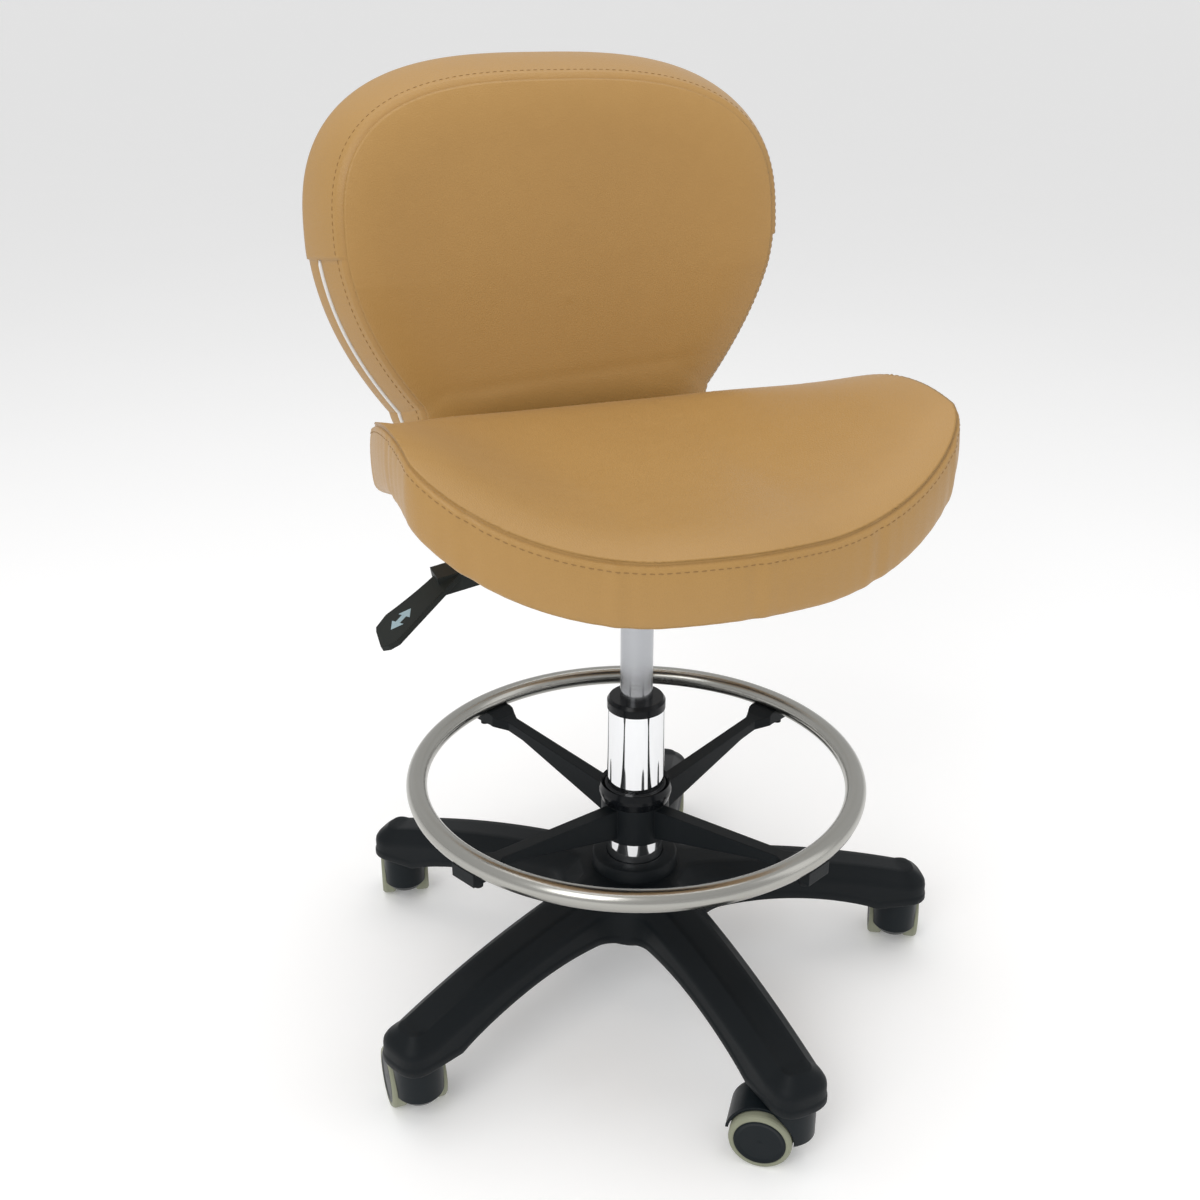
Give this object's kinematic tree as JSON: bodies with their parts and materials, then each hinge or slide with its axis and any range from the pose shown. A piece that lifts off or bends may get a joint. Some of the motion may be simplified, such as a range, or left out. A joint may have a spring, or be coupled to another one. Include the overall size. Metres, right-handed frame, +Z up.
{
  "type": "adjustable swivel stool",
  "caption": "Swivel stool with a winged upholstered seat and rounded backrest on a gas lift, foot ring on spokes and a star base on hooded twin-wheel casters.",
  "frame": {"origin": "on the floor, on the axis of the column", "axes": "+Z up along the column; the sitter faces -Y, with the height lever on the sitter's right at -X"},
  "size_m": [0.5443, 0.5501, 0.7953],
  "materials": {
    "black_nylon": "satin moulded nylon",
    "column_chrome": "bright chrome plate",
    "cylinder_steel": "satin ground and plated",
    "ring_steel": "brushed stainless",
    "plain_steel": "zinc plated",
    "black_steel": "black powder coat",
    "black_gloss": "polished black plastic",
    "lever_black": "fine textured black plastic",
    "button_red": "moulded plastic",
    "tan_vinyl": "smooth tan vinyl with a fine grain",
    "plywood": "bare moulded beech plywood",
    "wheel_black": "satin moulded nylon",
    "tread_grey": "soft grey-green polyurethane"
  },
  "bodies": {
    "base": {"base_star": "black_nylon", "hub_sleeve": "plain_steel", "column_tube": "column_chrome", "column_bushing": "black_gloss", "thrust_bearing": "plain_steel"},
    "spindle": {"piston_rod": "cylinder_steel", "retaining_clip": "plain_steel"},
    "seat": {"gas_cylinder": "cylinder_steel", "seat_mechanism": "black_steel", "lever_pin": "plain_steel", "back_bar": "black_steel", "m6_bolts": "plain_steel", "seat_pan": "plywood", "seat_cushion": "tan_vinyl", "back_board": "plywood", "back_cushion": "tan_vinyl", "back_rear_panel": "tan_vinyl"},
    "release_button": {"release_button": "button_red"},
    "height_lever": {"lever_bar": "black_steel", "lever_paddle": "lever_black"},
    "foot_rest": {"foot_ring": "ring_steel", "foot_spider": "black_nylon", "foot_sleeve": "black_gloss", "ring_screws": "black_steel"},
    "twist_collar": {"foot_collar": "black_gloss"},
    "caster_1": {"caster_1_hood": "wheel_black", "caster_1_stem": "plain_steel", "caster_1_axle": "plain_steel"},
    "caster_1_left": {"caster_1_wheel_left": "wheel_black", "caster_1_tread_left": "tread_grey"},
    "caster_1_right": {"caster_1_wheel_right": "wheel_black", "caster_1_tread_right": "tread_grey"},
    "caster_2": {"caster_2_hood": "wheel_black", "caster_2_stem": "plain_steel", "caster_2_axle": "plain_steel"},
    "caster_2_left": {"caster_2_wheel_left": "wheel_black", "caster_2_tread_left": "tread_grey"},
    "caster_2_right": {"caster_2_wheel_right": "wheel_black", "caster_2_tread_right": "tread_grey"},
    "caster_3": {"caster_3_hood": "wheel_black", "caster_3_stem": "plain_steel", "caster_3_axle": "plain_steel"},
    "caster_3_left": {"caster_3_wheel_left": "wheel_black", "caster_3_tread_left": "tread_grey"},
    "caster_3_right": {"caster_3_wheel_right": "wheel_black", "caster_3_tread_right": "tread_grey"},
    "caster_4": {"caster_4_hood": "wheel_black", "caster_4_stem": "plain_steel", "caster_4_axle": "plain_steel"},
    "caster_4_left": {"caster_4_wheel_left": "wheel_black", "caster_4_tread_left": "tread_grey"},
    "caster_4_right": {"caster_4_wheel_right": "wheel_black", "caster_4_tread_right": "tread_grey"},
    "caster_5": {"caster_5_hood": "wheel_black", "caster_5_stem": "plain_steel", "caster_5_axle": "plain_steel"},
    "caster_5_left": {"caster_5_wheel_left": "wheel_black", "caster_5_tread_left": "tread_grey"},
    "caster_5_right": {"caster_5_wheel_right": "wheel_black", "caster_5_tread_right": "tread_grey"}
  },
  "joints": [
    {"name": "seat_swivel", "type": "hinge", "parent": "base", "child": "spindle", "pos_m": [0, 0, 0.08], "axis": [0, 0, 1], "continuous": true},
    {"name": "gas_lift", "type": "slide", "parent": "spindle", "child": "seat", "axis": [0, 0, 1], "range_m": [-0.09, 0.05]},
    {"name": "lever_lift", "type": "hinge", "parent": "seat", "child": "height_lever", "pos_m": [-0.022, 0.025, 0.436], "axis": [0, 1, 0], "range_deg": [0, 10]},
    {"name": "button_press", "type": "slide", "parent": "seat", "child": "release_button", "axis": [0, 0, -1], "range_m": [0, 0.004], "stiffness_N_per_m": 400, "springref_m": -0.002},
    {"name": "foot_rest_slide", "type": "slide", "parent": "base", "child": "foot_rest", "axis": [0, 0, 1], "range_m": [-0.02, 0.06]},
    {"name": "collar_twist", "type": "hinge", "parent": "foot_rest", "child": "twist_collar", "pos_m": [0, 0, 0.198], "axis": [0, 0, 1], "range_deg": [0, 45]},
    {"name": "caster_1_swivel", "type": "hinge", "parent": "base", "child": "caster_1", "pos_m": [0.03315, -0.25183, 0.057], "axis": [0, 0, 1], "continuous": true},
    {"name": "caster_1_left_spin", "type": "hinge", "parent": "caster_1", "child": "caster_1_left", "pos_m": [0.00731, -0.25387, 0.025], "axis": [-0.5736, -0.8192, 0], "continuous": true},
    {"name": "caster_1_right_spin", "type": "hinge", "parent": "caster_1", "child": "caster_1_right", "pos_m": [0.02624, -0.22684, 0.025], "axis": [-0.5736, -0.8192, 0], "continuous": true},
    {"name": "caster_2_swivel", "type": "hinge", "parent": "base", "child": "caster_2", "pos_m": [0.24975, -0.04629, 0.057], "axis": [0, 0, 1], "continuous": true},
    {"name": "caster_2_left_spin", "type": "hinge", "parent": "caster_2", "child": "caster_2_left", "pos_m": [0.24546, -0.02072, 0.025], "axis": [-0.866, 0.5, 0], "continuous": true},
    {"name": "caster_2_right_spin", "type": "hinge", "parent": "caster_2", "child": "caster_2_right", "pos_m": [0.27404, -0.03722, 0.025], "axis": [-0.866, 0.5, 0], "continuous": true},
    {"name": "caster_3_swivel", "type": "hinge", "parent": "base", "child": "caster_3", "pos_m": [0.1212, 0.22322, 0.057], "axis": [0, 0, 1], "continuous": true},
    {"name": "caster_3_left_spin", "type": "hinge", "parent": "caster_3", "child": "caster_3_left", "pos_m": [0.11253, 0.24766, 0.025], "axis": [-0.9397, 0.342, 0], "continuous": true},
    {"name": "caster_3_right_spin", "type": "hinge", "parent": "caster_3", "child": "caster_3_right", "pos_m": [0.14354, 0.23637, 0.025], "axis": [-0.9397, 0.342, 0], "continuous": true},
    {"name": "caster_4_swivel", "type": "hinge", "parent": "base", "child": "caster_4", "pos_m": [-0.17484, 0.18424, 0.057], "axis": [0, 0, 1], "continuous": true},
    {"name": "caster_4_left_spin", "type": "hinge", "parent": "caster_4", "child": "caster_4_left", "pos_m": [-0.18762, 0.20681, 0.025], "axis": [-0.9848, 0.1736, 0], "continuous": true},
    {"name": "caster_4_right_spin", "type": "hinge", "parent": "caster_4", "child": "caster_4_right", "pos_m": [-0.15512, 0.20108, 0.025], "axis": [-0.9848, 0.1736, 0], "continuous": true},
    {"name": "caster_5_swivel", "type": "hinge", "parent": "base", "child": "caster_5", "pos_m": [-0.22926, -0.10935, 0.057], "axis": [0, 0, 1], "continuous": true},
    {"name": "caster_5_left_spin", "type": "hinge", "parent": "caster_5", "child": "caster_5_left", "pos_m": [-0.24576, -0.08935, 0.025], "axis": [-1, 0, 0], "continuous": true},
    {"name": "caster_5_right_spin", "type": "hinge", "parent": "caster_5", "child": "caster_5_right", "pos_m": [-0.21276, -0.08935, 0.025], "axis": [-1, 0, 0], "continuous": true}
  ],
  "couplings": [
    {"joint": "button_press", "follows": "lever_lift", "m_per_rad": 0.022}
  ]
}
